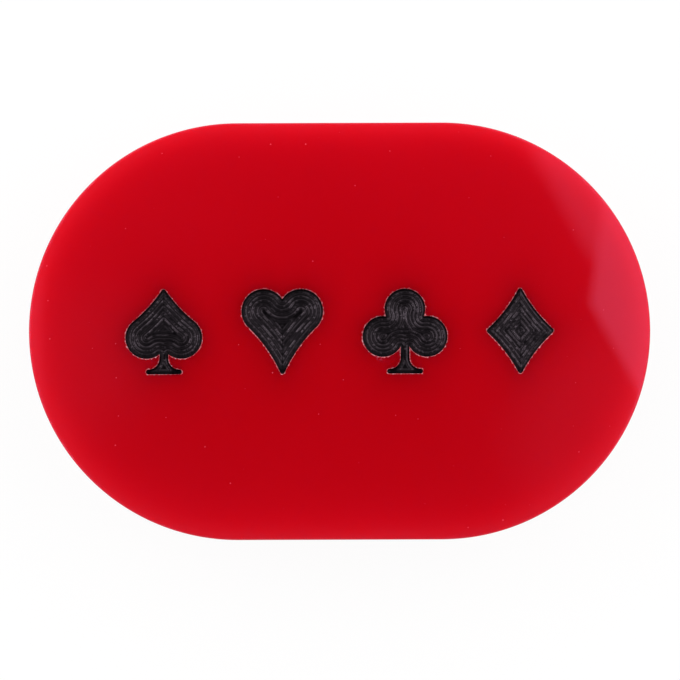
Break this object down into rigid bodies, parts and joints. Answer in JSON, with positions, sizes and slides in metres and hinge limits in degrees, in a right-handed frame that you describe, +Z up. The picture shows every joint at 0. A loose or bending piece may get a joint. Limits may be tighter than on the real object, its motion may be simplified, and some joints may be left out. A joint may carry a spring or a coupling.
{
  "type": "all-in button",
  "caption": "Thick polished red acrylic plaque with half-round ends, a card-table marker, with a row of engraved, black-filled card suits on both faces.",
  "frame": {"origin": "centre of the flat underside, on the surface that the button lies on", "axes": "+X along the length, to the right of someone reading the row of marks; +Y towards the top of the marks; +Z up, out of the front face"},
  "size_m": [0.076, 0.051, 0.02],
  "materials": {
    "red_acrylic": "solid cast acrylic, translucent deep red, polished on the faces and the wall",
    "black_enamel": "black paint brushed into the engraving, semi-gloss, following the cutter marks on its floor"
  },
  "bodies": {
    "root": {"acrylic_body": "red_acrylic", "front_spade_enamel": "black_enamel", "front_heart_enamel": "black_enamel", "front_club_enamel": "black_enamel", "front_diamond_enamel": "black_enamel", "rear_spade_enamel": "black_enamel", "rear_heart_enamel": "black_enamel", "rear_club_enamel": "black_enamel", "rear_diamond_enamel": "black_enamel"}
  },
  "joints": []
}
